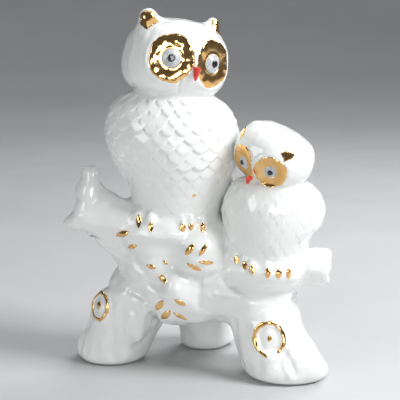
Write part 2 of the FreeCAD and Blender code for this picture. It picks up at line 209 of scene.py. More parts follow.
def lumps(p, size):
    q = p / size
    base = np.floor(q).astype(int)
    t = q - base
    t = t * t * (3 - 2 * t)
    total = 0.0
    for dx in (0, 1):
        for dy in (0, 1):
            for dz in (0, 1):
                weight = ((t[:, 0] if dx else 1 - t[:, 0]) * (t[:, 1] if dy else 1 - t[:, 1])
                          * (t[:, 2] if dz else 1 - t[:, 2]))
                index = (base + (dx, dy, dz)) % 32
                total = total + weight * LATTICE[index[:, 0], index[:, 1], index[:, 2]]
    return total


def smooth_step(value, low, high):
    t = np.clip((value - low) / (high - low), 0.0, 1.0)
    return t * t * (3 - 2 * t)


# ---------------------------------------------------------------- the castings' forms

STUMP = Home("root_base", (0.67, 0.0, 30.5))
BOUGH = Home("left_branch", (-33.8, 0.7, 56.3))
STUB = Home("right_branch", (40.7, -7.4, 36.6))
LARGE = Home("large_owl_body", (-9.7, 2.1, 75.2))
LARGE_HEAD = Home("large_owl_head", (-8.0, 1.05, 115.45))
SMALL = Home("small_owl_body", (28.2, -7.6, 53.2))
SMALL_HEAD = Home("small_owl_head", (26.8, -9.8, 79.25))

LARGE_TURN = turn_matrix(24.0, 8.0, 0.0)
SMALL_TURN = turn_matrix(-35.0, 23.0, 8.0)
LARGE_C = LARGE_HEAD.at(-8.0, 1.1, 112.4)
SMALL_C = SMALL_HEAD.at(26.8, -9.9, 79.0)

trunk = Loft(STUMP, 0, [
    (-27.0, 0.6, 49.0, 8.4, 8.0), (-19.0, 0.6, 42.6, 14.4, 16.6), (-8.0, 0.4, 39.4, 16.6, 21.4),
    (5.0, -1.6, 37.4, 16.2, 18.8), (18.0, -5.0, 34.8, 14.4, 13.8), (30.0, -7.0, 36.2, 11.0, 9.2),
    (36.0, -7.5, 37.8, 8.0, 6.4),
], 4.0)
left_root = Loft(STUMP, 2, [
    (-13.4, 1.0, 41.0, 13.6, 12.6), (-20.4, 2.4, 28.0, 13.2, 13.0), (-26.6, 3.8, 17.0, 13.6, 11.8),
    (-31.0, 4.6, 7.0, 13.9, 12.0), (-32.4, 4.9, 0.0, 13.0, 12.0), (-32.6, 5.2, -6.0, 12.0, 11.6),
], 2.0)
right_root = Loft(STUMP, 2, [
    (12.4, -3.0, 36.0, 14.8, 13.4), (20.8, -7.0, 26.0, 13.9, 12.8), (25.0, -10.4, 16.0, 13.4, 12.6),
    (30.0, -13.2, 6.0, 15.0, 13.4), (32.4, -13.8, 0.0, 15.6, 13.2), (34.0, -14.0, -6.0, 15.0, 12.6),
], 2.5)
rear_root = Loft(STUMP, 2, [
    (-2.0, 6.0, 36.0, 13.0, 10.6), (0.0, 12.0, 23.0, 11.0, 9.4), (1.6, 16.0, 12.0, 9.4, 8.4),
    (2.4, 17.6, 3.0, 9.8, 8.0), (2.6, 18.0, -4.0, 9.8, 8.0),
], 2.0)
bough = Loft(BOUGH, 0, [
    (-17.0, 0.8, 48.0, 11.6, 11.0), (-27.0, 0.2, 51.2, 9.6, 8.4), (-35.0, -1.0, 53.4, 7.8, 7.6),
    (-41.0, -1.9, 53.2, 6.0, 5.6), (-46.4, -2.1, 51.9, 3.8, 3.3),
], 2.6)
stump_stub = Loft(STUB, 0, [
    (26.0, -6.8, 37.2, 9.4, 8.0), (36.0, -7.5, 38.1, 7.9, 7.0), (41.0, -7.9, 38.8, 7.3, 6.5),
    (50.5, -8.2, 39.0, 6.5, 6.0),
], 1.4)
large_body = Loft(LARGE, 2, [
    (-7.7, 2.0, 44.0, 15.8, 13.6), (-7.6, 2.0, 55.0, 16.0, 14.8), (-7.4, 2.0, 61.0, 16.6, 15.6),
    (-7.0, 2.0, 66.0, 17.7, 16.4), (-7.0, 2.0, 70.0, 19.0, 17.2), (-7.2, 2.0, 74.5, 20.2, 18.2),
    (-8.2, 2.0, 79.0, 22.0, 19.0), (-9.1, 2.0, 83.0, 23.2, 19.4), (-9.8, 2.0, 87.0, 23.3, 19.3),
    (-10.6, 1.9, 92.0, 21.9, 18.2), (-11.2, 1.8, 96.0, 19.4, 16.4), (-10.6, 1.7, 100.0, 15.0, 13.4),
    (-9.6, 1.5, 103.4, 10.6, 10.0),
], 3.0)
small_body = Loft(SMALL, 2, [
    (25.5, -8.0, 33.0, 12.4, 10.8), (24.8, -8.0, 42.0, 13.6, 12.4), (24.6, -8.0, 46.0, 14.2, 13.2),
    (25.0, -8.0, 49.6, 14.9, 14.0), (26.2, -8.0, 54.0, 16.4, 14.7), (27.0, -8.0, 58.4, 17.3, 15.0),
    (26.8, -8.2, 62.6, 16.8, 14.4), (26.4, -8.6, 66.9, 14.4, 12.8), (26.2, -9.0, 70.4, 11.2, 10.6),
    (26.2, -9.2, 72.4, 8.8, 8.4),
], 2.4)


def join(p, first, rest):
    """Soft union of a form with (form, blend) pairs."""
    total = first(p)
    for form, blend in rest:
        total = soft_min(total, form(p), blend)
    return total


def lump(home, x, y, z, rx, ry, rz, matrix=None, power=2.0):
    centre = home.at(x, y, z)
    return lambda p: ball(p, centre, (rx, ry, rz), matrix, power)


def stick(home, a, b, ra, rb):
    start, end = home.at(*a), home.at(*b)
    return lambda p: limb(p, start, end, ra, rb)


def toes(group, home_reach, radius):
    """A low bump behind each claw."""
    return [(lambda p, c=mid + (0, home_reach, 0.8): ball(p, c, (radius, radius * 1.4, radius * 1.5)),
             1.4) for mid in node_marks(group)]


# Swellings of the stump: middle x, y, z, then half sizes.
LEDGE_SMALL = (24.0, -9.4, 39.4, 13.4, 13.8, 7.0)
BURL = (0.4, -10.6, 46.0, 8.8, 9.2, 8.2)
KNEE = (-22.6, -4.4, 18.6, 6.6, 7.0, 9.0)
SWELLING_LEFT = (-7.6, -11.6, 32.4, 6.6, 7.0, 6.0)
SWELLING_RIGHT = (10.6, -11.6, 31.6, 8.8, 7.6, 5.4)

STUMP_PARTS = [
    (left_root, 5.0), (right_root, 5.0), (rear_root, 5.0),
    (lump(STUMP, -9.4, -2.6, 51.6, 18.6, 14.4, 8.6), 3.6),        # ledge under the large owl
    (lump(STUMP, *LEDGE_SMALL), 3.0),                             # ledge under the small owl
    (lump(STUMP, -3.4, -6.4, 27.0, 17.0, 9.6, 9.8), 5.0),         # brow over the arch
    (lump(STUMP, *BURL), 1.6),
    (lump(STUMP, *KNEE), 1.8),                                    # on the left root
    (lump(STUMP, *SWELLING_LEFT), 2.2),                           # both below the burl
    (lump(STUMP, *SWELLING_RIGHT), 2.4),
    (lump(STUMP, -33.2, 0.8, 20.4, 5.6, 7.0, 7.0), 2.0),          # swelling of the left knot
    (lump(STUMP, 25.2, -15.0, 17.0, 8.4, 7.6, 9.6), 2.4),         # swelling of the right knot
    (stick(STUMP, (-36.0, -1.0, 50.8), (-21.0, -1.0, 41.0), 3.4, 8.6), 3.0),
    (stick(STUMP, (31.0, -17.0, 14.0), (39.0, -20.2, 4.6), 5.0, 5.4), 2.4),
    (stick(STUMP, (25.0, -16.6, 12.0), (26.0, -19.8, 4.6), 4.8, 5.6), 2.4),
    (stick(STUMP, (4.4, 20.0, 9.0), (10.6, 20.0, 2.0), 4.4, 4.0), 3.0),
    (stick(STUMP, (-34.0, 7.0, 12.0), (-39.2, 6.0, 5.0), 5.4, 4.8), 3.0),
]
for group, back, size in (("large_owl_right_claws", 2.4, 1.8), ("large_owl_left_claws", 2.2, 1.7),
                          ("small_owl_right_claws", 1.6, 1.4), ("small_owl_left_claws", 1.6, 1.4)):
    STUMP_PARTS += toes(group, back, size)


def stump_form(p):
    return join(p, trunk, STUMP_PARTS)


def spur_form(p):
    """Upright spur of the bough, sawn flat at the top."""
    low = limb(p, BOUGH.at(-39.0, -2.0, 54.0), BOUGH.at(-39.1, -2.0, 63.0), 4.8, 4.4)
    high = limb(p, BOUGH.at(-39.1, -2.0, 63.0), BOUGH.at(-38.5, -2.0, 73.6), 4.3, 2.6)
    return soft_max(soft_min(low, high, 1.5), (p - BOUGH.at(-38.5, -2.0, 71.7)) @ (0.10, 0.0, 0.995), 1.6)


def bough_form(p):
    return join(p, bough, [
        (spur_form, 1.8),
        (lump(BOUGH, -33.4, -1.0, 57.6, 4.4, 5.6, 5.0), 2.0),
        (lump(BOUGH, -45.4, -2.0, 51.4, 3.4, 3.4, 2.8), 1.6),
    ])


def stub_form(p):
    """Short stub on the right, sawn off a little aslant."""
    sawn = (p - STUB.at(47.7, -8.0, 40.4)) @ (0.975, 0.0, -0.222)
    return soft_max(stump_stub(p), sawn, 3.4)


def large_body_form(p):
    return join(p, large_body, [
        (lump(LARGE, -25.6, 4.6, 84.0, 6.4, 12.6, 13.6), 3.5),        # folded wings
        (lump(LARGE, 7.0, 4.6, 77.5, 6.2, 12.6, 17.0), 3.5),
        (lump(LARGE, -9.2, 15.2, 62.0, 8.6, 5.8, 14.0), 5.0),
    ])


def small_body_form(p):
    return join(p, small_body, [
        (lump(SMALL, 14.2, -5.4, 57.0, 4.8, 9.6, 12.4), 3.0),
        (lump(SMALL, 39.0, -5.4, 59.4, 5.2, 9.6, 8.6), 2.6),
        (lump(SMALL, 27.6, 3.2, 44.0, 6.6, 4.4, 8.6), 4.0),
    ])


def ears(p, centre, matrix, root, tips, root_r, tip_r, blend, total):
    """Ear tufts on the owl's right and left."""
    for side, tip, end_r in zip((-1, 1), tips, tip_r):
        a = centre + matrix @ np.array((side * root[0], root[1], root[2]))
        b = centre + matrix @ np.array((side * tip[0], tip[1], tip[2]))
        total = soft_min(total, limb(p, a, b, root_r, end_r), blend)
    return total


def large_head_form(p):
    total = ball(p, LARGE_C, (18.2, 16.6, 13.9), LARGE_TURN, 2.35)
    low = LARGE_C + LARGE_TURN @ np.array((0.0, 0.6, -4.0))
    total = soft_min(total, ball(p, low, (17.8, 15.8, 10.4), LARGE_TURN, 2.3), 3.0)
    tips = ((12.2, 0.0, 12.9), (12.6, 0.0, 13.6))
    return ears(p, LARGE_C, LARGE_TURN, (10.4, -0.4, 7.6), tips, 5.4, (3.3, 2.2), 3.2, total)


def small_head_form(p):
    total = ball(p, SMALL_C, (13.7, 12.4, 9.7), SMALL_TURN, 2.3)
    slope = (p - SMALL_HEAD.at(29.9, -9.9, 88.9)) @ (0.443, 0.0, 0.897)
    total = soft_max(total, slope, 4.0)
    low = SMALL_C + SMALL_TURN @ np.array((0.0, 0.4, -3.0))
    total = soft_min(total, ball(p, low, (13.3, 11.8, 8.2), SMALL_TURN, 2.3), 3.0)
    tips = ((8.8, -2.8, 6.4), (8.6, -2.8, 5.5))
    return ears(p, SMALL_C, SMALL_TURN, (7.6, -2.2, 4.4), tips, 3.4, (1.8, 1.8), 2.2, total)


FORMS = {
    "root_base": stump_form,
    "left_branch": bough_form,
    "right_branch": stub_form,
    "large_owl_body": large_body_form,
    "large_owl_head": large_head_form,
    "small_owl_body": small_body_form,
    "small_owl_head": small_head_form,
}
NAMES = list(FORMS)


def all_forms(p):
    return np.stack([FORMS[name](p) for name in NAMES])


def merge(f, p):
    """One field for the whole figurine, with a blend for each joint."""
    stump = soft_min(soft_min(f[0], f[1], 4.5), f[2], 4.0)
    large = soft_min(f[3], f[4], 1.5 + 2.6 * smooth_step(p[:, 1], 2.0, 11.0))
    small = soft_min(f[5], f[6], 1.2 + 2.0 * smooth_step(p[:, 1], -8.0, 1.0))
    total = soft_min(stump, large, 2.4)
    blend = 2.4 - 1.2 * smooth_step(p[:, 2], 44.0, 54.0) * smooth_step(-p[:, 0], -30.0, -16.0)
    total = soft_min(total, small, blend)
    return soft_max(total, -p[:, 2], 4.2)


# ---------------------------------------------------------------- relief under the glaze

class Spot:
    """A round or oval place on the surface: middle, outward axis, and sizes along u and v."""

    def __init__(self, middle, matrix, w, h):
        self.middle = np.asarray(middle)
        self.u, self.out, self.v = matrix[:, 0], -matrix[:, 1], matrix[:, 2]
        self.w, self.h = w, h

    def local(self, p):
        q = p - self.middle
        return q @ self.u, q @ self.v, q @ self.out


EYES = {}
for owl, side, turn, angle, shift, w, h, iris, pupil in (
        ("large", "right", LARGE_TURN, -28.0, (0.0, -0.2), 7.8, 8.4, 3.2, 1.3),
        ("large", "left", LARGE_TURN, 30.0, (0.5, -0.6), 7.6, 8.3, 3.2, 1.3),
        ("small", "right", SMALL_TURN, -36.0, (0.0, -1.3), 5.4, 6.6, 2.1, 0.9),
        ("small", "left", SMALL_TURN, 29.0, (-0.4, -0.1), 5.9, 5.7, 2.2, 0.95)):
    matrix = turn @ turn_matrix(angle)
    middle = node_mid(f"{owl}_owl_{side}_pupil") + matrix @ (shift[0], 0.0, shift[1])
    spot = Spot(middle, matrix, w, h)
    spot.iris, spot.pupil, spot.scale = iris, pupil, w / 7.6
    EYES[owl, side] = spot

KNOTS = {
    "left": Spot(node_mid("left_knot_dot") + (0.3, 0.0, -1.3), turn_matrix(-30.0), 4.7, 5.3),
    "right": Spot(node_mid("right_knot_dot") + (0.0, 0.0, -0.3), turn_matrix(8.0), 5.8, 6.6),
}


def eye_relief(p):
    """Each eye disc is a shallow dish with a rim, fine rays and a domed eye in the middle."""
    total = 0.0
    for spot in EYES.values():
        a, b, away = spot.local(p)
        rho = np.sqrt((a / spot.w) ** 2 + (b / spot.h) ** 2)
        r = np.sqrt(a * a + b * b)
        front = smooth_step(away, -5.0 * spot.scale, -2.5 * spot.scale)
        dish = -1.7 * spot.scale * smooth_step(1.06 - rho, 0.0, 0.85)
        rim = 0.30 * spot.scale * np.exp(-((rho - 1.10) / 0.14) ** 2)
        theta = np.arctan2(b, a)
        rays = np.cos(11 * theta + 1.6 * np.sin(3 * theta)) * np.exp(-((rho - 0.86) / 0.14) ** 2)
        dome = 1.1 * spot.scale * smooth_step(-r, -1.35 * spot.iris, -0.35 * spot.iris)
        uneven = 0.16 * lumps(p + 17, 3.1) * (1 - smooth_step(rho, 0.9, 1.1))
        total = total + front * (dish + rim - 0.06 * spot.scale * rays + uneven + dome)
    return total


def knot_relief(p):
    total = 0.0
    for spot in KNOTS.values():
        a, b, away = spot.local(p)
        rho = np.sqrt((a / spot.w) ** 2 + (b / spot.h) ** 2)
        front = smooth_step(away, -6.0, -4.0)
        ring = 0.40 * np.exp(-((rho - 0.92) / 0.20) ** 2)
        moat = -0.45 * smooth_step(-rho, -0.80, -0.50)
        total = total + front * (ring + moat)
    return total


def plumage(p, middle, facing, row, width, depth, soft, seed):
    """Overlapping U-shaped feathers in rows round an upright body. Returns the height."""
    q = p - middle
    angle = np.arctan2(q[:, 0], -q[:, 1]) - math.radians(facing)
    angle = (angle + math.pi) % (2 * math.pi) - math.pi
    around = angle * 18.0 / width
    around = around + 0.16 * lumps(p + seed, 9.0)
    z = q[:, 2] + 0.45 * lumps(p + 31 + seed, 7.0) + 0.9 * np.cos(angle * 2.0)
    near = np.floor(z / row)
    height = np.zeros(len(p))
    for step in (-1, 0, 1, 2):
        j = near + step
        shifted = around + 0.5 * (j % 2)
        cell = np.floor(shifted)
        a = shifted - cell - 0.5
        odd = np.sin(cell * 12.9898 + j * 78.233 + seed) * 43758.5453
        odd = odd - np.floor(odd) - 0.5
        tip = j * row + row * (2.1 * a * a - 0.22) + 0.26 * row * odd
        over = 1.0 / (1.0 + np.exp(-(z - tip) / (soft * row)))
        rise = np.clip(1.0 - (z - tip) / (1.75 * row), 0.0, 1.0) * (1.0 - 0.9 * a * a)
        height = height * (1 - over) + over * rise * depth * (1 + 0.5 * odd)
    return height


def quills(p, middle, facing, row, width, depth, seed):
    """Long overlapping feathers of the folded wings and tail, seen from behind."""
    q = p - middle
    angle = np.arctan2(q[:, 0], q[:, 1]) + math.radians(facing)
    angle = (angle + math.pi) % (2 * math.pi) - math.pi
    around = angle * 18.0 / width * (1.0 + 0.012 * q[:, 2]) + 0.05 * q[:, 2] * np.sign(angle)
    near = np.floor(q[:, 2] / row)
    height = np.zeros(len(p))
    for step in (-1, 0, 1, 2):
        j = near + step
        shifted = around + 0.5 * (j % 2)
        cell = np.floor(shifted)
        a = shifted - cell - 0.5
        tip = j * row + row * (1.9 * a * a - 0.2)
        over = 1.0 / (1.0 + np.exp(-(q[:, 2] - tip) / (0.06 * row)))
        shaft = 0.16 * np.exp(-(a / 0.07) ** 2)
        rise = np.clip(1.0 - (q[:, 2] - tip) / (1.9 * row), 0.0, 1.0) * (1 - 1.1 * a * a) + shaft
        height = height * (1 - over) + over * rise * depth
    return height


def groove(p, points, depth, wide, y_limit):
    """A soft furrow along a line of (x, z) on the front of the stump."""
    nearest = np.full(len(p), 1e9)
    for (ax, az), (bx, bz) in zip(points, points[1:]):
        t = ((p[:, 0] - ax) * (bx - ax) + (p[:, 2] - az) * (bz - az))
        t = np.clip(t / ((bx - ax) ** 2 + (bz - az) ** 2), 0, 1)
        away = np.hypot(p[:, 0] - ax - t * (bx - ax), p[:, 2] - az - t * (bz - az))
        nearest = np.minimum(nearest, away)
    return -depth * np.exp(-(nearest / wide) ** 2) * smooth_step(y_limit - p[:, 1], 0.0, 3.0)


def arc_round(form, wider, taller, start, end, steps=8):
    """Points (x, z) of an arc a margin outside a swelling, from one angle to another in degrees."""
    (x, _, z), rx, rz = STUMP.at(*form[:3]), form[3] + wider, form[5] + taller
    angles = [math.radians(start + (end - start) * n / steps) for n in range(steps + 1)]
    return [(x + rx * math.cos(angle), z + rz * math.sin(angle)) for angle in angles]


def beside(mark, dx, dz):
    """A point (x, z) next to a painted mark."""
    return mark[0] + dx, mark[2] + dz


def foot_fold(lean, top):
    """A fold that fans out below the right knot and ends just above the floor."""
    x, _, z = node_mid("right_knot_ring")
    high = z + FAN_RISE
    return [(x + lean * (high - level), level) for level in (top, FOLD_END)]


FAN_RISE = 5.0                    # the folds fan out from this far above the knot's middle
FOLD_END = 1.4
SEAM_X = (SWELLING_LEFT[0] + SWELLING_LEFT[3] + SWELLING_RIGHT[0] - SWELLING_RIGHT[3]) / 2
LEFT_FOOT_X = frame["record"]["mounts"][0]["pos_m"][0] * MM
BOUGH_MARKS, MIDDLE_MARKS = node_marks("bough_leaves"), node_marks("middle_leaves")
SMALL_MARKS = node_marks("small_owl_left_claws")

# Each furrow: its line, depth, width, and how far forward the skin has to be to carry it.
GROOVES = [
    ([beside(BOUGH_MARKS[1], -3, -1), beside(MIDDLE_MARKS[1], -1, -3)], 1.2, 1.9, -3),
    (arc_round(BURL, 0.5, 1.0, 210, 370), 1.3, 1.4, -8),
    (arc_round(KNEE, 0.5, 2.0, 95, -95), 1.2, 1.5, -1),
    (arc_round(SWELLING_RIGHT, -3.0, -3.0, 0, 360), 0.4, 1.1, -8),
    (arc_round(LEDGE_SMALL, 1.0, 1.5, 195, 320), 0.9, 1.7, -8),
    ([(SEAM_X, BURL[2] - BURL[5] - 2), (SEAM_X, SWELLING_LEFT[2] - SWELLING_LEFT[5])], 0.9, 1.4, -8),
    (foot_fold(0.3, 12), 0.6, 1.7, -12),
    (foot_fold(0.55, 12), 0.5, 1.6, -12),
    (foot_fold(-0.2, 8), 0.4, 1.5, -12),
    ([(LEFT_FOOT_X + 2, 14), (LEFT_FOOT_X + 2, 3)], 0.7, 1.6, -1),
    ([beside(SMALL_MARKS[0], 0, 5), beside(SMALL_MARKS[-1], 0, 5)], 0.5, 0.9, -16),
]


def bark(p):
    down = smooth_step(28.0 - p[:, 2], 0.0, 10.0)
    along_root = lumps(p * (1.0, 1.0, 0.38), 2.7)
    along_trunk = lumps(p * (0.42, 0.8, 1.0) + 50, 2.9)
    height = 0.58 * (down * along_root + (1 - down) * along_trunk)
    height = height + 0.78 * lumps(p + 11, 7.5)
    for points, depth, wide, y_limit in GROOVES:
        height = height + groove(p, points, depth, wide, y_limit)
    return (height + knot_relief(p)) * smooth_step(p[:, 2], 0.0, 6.0)


LARGE_MID = LARGE.at(-9.6, 2.0, 60.0)
SMALL_MID = SMALL.at(27.4, -8.0, 44.0)


def relief(p, f):
    """Height of the moulded relief above the smooth forms."""
    stump = np.minimum(np.minimum(f[0], f[1]), f[2])
    on_stump = smooth_step(np.minimum(f[3:].min(0), 9.0) - stump, 0.3, 2.6)
    height = on_stump * bark(p)

    # Large owl: crisp scallops on the breast towards +X, fading down the belly and to the wings.
    on_large = smooth_step(np.minimum(np.minimum(stump, f[4]), f[5:].min(0)) - f[3], 0.3, 2.2)
    q = p - LARGE_MID
    angle = np.degrees(np.arctan2(q[:, 0], -q[:, 1]))
    front = smooth_step(112.0 - np.abs(angle - 12.0), 0.0, 30.0)
    strong = 0.55 + 0.45 * smooth_step(angle, -50.0, 5.0)
    belly = 0.22 + 0.78 * smooth_step(q[:, 2], 4.0, 17.0)
    breast = plumage(p, LARGE_MID, 14.0, 3.2, 5.0, 1.0, 0.085, 3.0)
    back = quills(p, LARGE_MID, 0.0, 8.6, 6.2, 0.55, 1.0)
    back_fade = smooth_step(44.0 - q[:, 2], 0.0, 6.0)
    height = height + on_large * (front * strong * belly * breast + (1 - front) * back * back_fade)

    # Small owl: the same plumage, finer and fainter.
    on_small = smooth_step(np.minimum(np.minimum(stump, f[6]), f[3:5].min(0)) - f[5], 0.2, 1.8)
    q = p - SMALL_MID
    angle = np.degrees(np.arctan2(q[:, 0], -q[:, 1]))
    front = smooth_step(118.0 - np.abs(angle + 8.0), 0.0, 30.0)
    breast = plumage(p, SMALL_MID, -12.0, 3.0, 4.8, 0.5, 0.13, 8.0) + 0.4 * lumps(p + 23, 5.0)
    back = quills(p, SMALL_MID, 0.0, 6.4, 5.0, 0.42, 5.0)
    side = 0.5 + 0.5 * smooth_step(np.abs(angle + 8.0), 30.0, 80.0)
    height = height + on_small * (front * side * breast + (1 - front) * back)

    # Heads: short soft barbs round the cheeks, and the dished eyes.
    on_head = np.minimum(f[4], f[6])
    near_head = smooth_step(np.minimum(stump, np.minimum(f[3], f[5])) - on_head, -0.6, 1.0)
    chin_line = [(LARGE_C[0] + 1.8, LARGE_C[2] - low) for low in (6.5, 9.5)]
    chin = groove(p, chin_line, 0.7, 0.7, -8)
    barbs = 0.14 * lumps(p * (1.0, 1.0, 0.45) + 5, 2.2)
    height = height + near_head * (barbs + chin + eye_relief(p))
    return height


def glazed(p):
    """The finished surface is where this is zero."""
    f = all_forms(p)
    return merge(f, p) - relief(p, f)


def in_chunks(function, p, size=120000):
    return np.concatenate([function(p[n:n + size]) for n in range(0, len(p), size)])


def slope_of(function, p, eps):
    """Value and gradient by small steps."""
    value = in_chunks(function, p)
    gradient = np.empty_like(p)
    for axis in range(3):
        step = np.zeros(3)
        step[axis] = eps
        gradient[:, axis] = (in_chunks(function, p + step) - value) / eps
    return value, gradient


def settle(p, rounds=3):
    """Moves points onto the finished surface."""
    for _ in range(rounds):
        value, gradient = slope_of(glazed, p, 0.04)
        step = value / np.maximum((gradient ** 2).sum(1), 0.25)
        move = np.clip(step, -0.8, 0.8)[:, None] * gradient
        p = p - move
    return p


def outward(p):
    _, gradient = slope_of(glazed, p, 0.10)
    return gradient / np.linalg.norm(gradient, axis=1)[:, None]


# ---------------------------------------------------------------- one closed mesh per casting

def sample_grid(low, high):
    """Field and casting label at every grid point, worked out only where a surface may be."""
    block = 8
    counts = (np.ceil((high - low) / VOXEL / block).astype(int)) * block
    field = np.full(counts, 1.0, dtype=np.float32)
    label = np.zeros(counts, dtype=np.int8)
    half = block * VOXEL * math.sqrt(3) / 2
    corners = np.stack(np.meshgrid(*[np.arange(n // block) for n in counts], indexing="ij"), -1)
    corners = corners.reshape(-1, 3) * block
    middles = low + (corners + (block - 1) / 2) * VOXEL

    def judge(p):
        f = all_forms(p)
        total = merge(f, p)
        two = np.sort(f, axis=0)[:2]
        return np.stack([total, two[1] - two[0], f.argmin(0) + 1.0], 1)

    verdict = in_chunks(judge, middles)
    near = (np.abs(verdict[:, 0]) < half * 1.35 + 1.0)
    near |= (verdict[:, 0] < 0) & (verdict[:, 1] < half * 2.6)
    for corner, row in zip(corners[~near], verdict[~near]):
        i, j, k = corner
        cells = (slice(i, i + block), slice(j, j + block), slice(k, k + block))
        field[cells] = row[0]
        label[cells] = 0 if row[0] > 0 else int(row[2])

    inside = np.stack(np.meshgrid(*[np.arange(block)] * 3, indexing="ij"), -1).reshape(-1, 3)
    index = (corners[near][:, None, :] + inside[None]).reshape(-1, 3)

    def read(p):
        f = all_forms(p)
        return np.stack([merge(f, p), f.argmin(0) + 1.0], 1)

    values = in_chunks(read, low + index * VOXEL)
    at = (index[:, 0], index[:, 1], index[:, 2])
    field[at] = values[:, 0]
    label[at] = np.where(values[:, 0] > 0, 0, values[:, 1])
    return field, label


def surface_nets(field, label, low):
    """Vertices, outer flags and, for each casting, its quads. Neighbours share vertices."""
    shape = label.shape
    corner = [(i, j, k) for i in (0, 1) for j in (0, 1) for k in (0, 1)]

    def shifted(a, c):
        return a[c[0]:shape[0] - 1 + c[0], c[1]:shape[1] - 1 + c[1], c[2]:shape[2] - 1 + c[2]]

    first = shifted(label, (0, 0, 0))
    mixed = np.zeros(first.shape, bool)
    for c in corner[1:]:
        mixed |= shifted(label, c) != first
    cells = np.argwhere(mixed)
    number = np.full(first.shape, -1, dtype=np.int32)
    number[mixed] = np.arange(len(cells))

    labels = np.stack([label[tuple((cells + c).T)] for c in corner], 1)
    fields = np.stack([field[tuple((cells + c).T)] for c in corner], 1)
    outer = (labels == 0).any(1)
    total = np.zeros((len(cells), 3))
    count = np.zeros(len(cells))
    for a in range(8):
        for b in range(a + 1, 8):
            if sum(x != y for x, y in zip(corner[a], corner[b])) != 1:
                continue
            la, lb = labels[:, a], labels[:, b]
            skin = (la == 0) != (lb == 0)
            inner = (la != lb) & ~skin & ~outer
            gap = fields[:, a] - fields[:, b]
            t = np.where(skin, fields[:, a] / np.where(np.abs(gap) < 1e-9, 1.0, gap), 0.5)
            t = np.clip(t, 0.02, 0.98)[:, None]
            use = (skin | inner)[:, None]
            crossing = np.array(corner[a]) * (1 - t) + np.array(corner[b]) * t
            total += np.where(use, crossing, 0.0)
            count += use[:, 0]
    verts = low + (cells + total / np.maximum(count, 1)[:, None]) * VOXEL

    quads = []
    for axis in range(3):
        u, v = [n for n in range(3) if n != axis]
        ahead = [slice(None)] * 3
        ahead[axis] = slice(1, None)
        behind = [slice(None)] * 3
        behind[axis] = slice(None, -1)
        differs = np.argwhere(label[tuple(behind)] != label[tuple(ahead)])
        keep = ((differs[:, u] > 0) & (differs[:, v] > 0)
                & (differs[:, u] < shape[u] - 1) & (differs[:, v] < shape[v] - 1))
        edge = differs[keep]
        ring = []
        for du, dv in ((-1, -1), (0, -1), (0, 0), (-1, 0)):
            cell = edge.copy()
            cell[:, u] += du
            cell[:, v] += dv
            ring.append(number[tuple(cell.T)])
        ring = np.stack(ring, 1)
        if axis == 1:
            ring = ring[:, ::-1]
        other = edge.copy()
        other[:, axis] += 1
        quads.append((ring, label[tuple(edge.T)], label[tuple(other.T)]))
    ring = np.concatenate([q[0] for q in quads])
    from_label = np.concatenate([q[1] for q in quads])
    to_label = np.concatenate([q[2] for q in quads])
    return verts, outer, ring, from_label, to_label


def relax(verts, ring, rounds):
    """Evens out the vertex spacing."""
    a = np.concatenate([ring[:, n] for n in range(4)])
    b = np.concatenate([ring[:, (n + 1) % 4] for n in range(4)])
    for _ in range(rounds):
        total = np.zeros_like(verts)
        count = np.zeros(len(verts))
        for x, y in ((a, b), (b, a)):
            for n in range(3):
                total[:, n] += np.bincount(x, weights=verts[y, n], minlength=len(verts))
            count += np.bincount(x, minlength=len(verts))
        verts = 0.4 * verts + 0.6 * total / np.maximum(count, 1)[:, None]
    return verts


def make_mesh(name, verts, faces, normals=None):
    """A smooth-shaded object from millimetre vertices."""
    mesh = bpy.data.meshes.new(name)
    mesh.from_pydata((np.asarray(verts) / MM).tolist(), [], [list(map(int, f)) for f in faces])
    mesh.polygons.foreach_set("use_smooth", [True] * len(mesh.polygons))
    mesh.update()
    if normals is not None:
        mesh.normals_split_custom_set_from_vertices(np.asarray(normals).tolist())
    thing = bpy.data.objects.new(name, mesh)
    bpy.context.scene.collection.objects.link(thing)
    return thing


cad_low, cad_high = (np.array(corner) * MM for corner in cad_bounds)
grid_low = cad_low - 3.0
field, label = sample_grid(grid_low, cad_high + 3.0)
verts, outer, ring, from_label, to_label = surface_nets(field, label, grid_low)
verts = relax(verts, ring, 2)
verts[outer] = settle(verts[outer], 3)
normals = np.tile((0.0, 0.0, 1.0), (len(verts), 1))
normals[outer] = outward(verts[outer])

castings = {}
for number, name in enumerate(NAMES, start=1):
    faces = np.concatenate([ring[from_label == number], ring[to_label == number][:, ::-1]])
    used, faces = np.unique(faces, return_inverse=True)
    faces = faces.reshape(-1, 4)
    castings[name] = make_mesh("glazed_" + name, verts[used], faces, normals[used])

skin_faces = ring[(from_label == 0) | (to_label == 0)]
skin = BVHTree.FromPolygons(verts.tolist(), skin_faces.tolist())


# ---------------------------------------------------------------- films on the glaze

films = []                        # one dict for each film, filled in by add_film


def oval(w, h, lean=0.0, ragged=0.0, seed=0.0, point=0.0):
    """Outline of an oval in a Spot's own plane. point sharpens both ends of its long axis."""
    def outline(theta):
        c, s = np.cos(theta), np.sin(theta)
        wobble = 1 + ragged * (0.5 * np.sin(5 * theta + seed) + 0.3 * np.sin(11 * theta + 2 * seed)
                               + 0.2 * np.sin(23 * theta + 3 * seed))
        u = w * c * wobble * (1 - point * s * s)
        v = h * s * wobble
        cl, sl = math.cos(math.radians(lean)), math.sin(math.radians(lean))
        return np.stack([u * cl - v * sl, u * sl + v * cl], 1)
    return outline


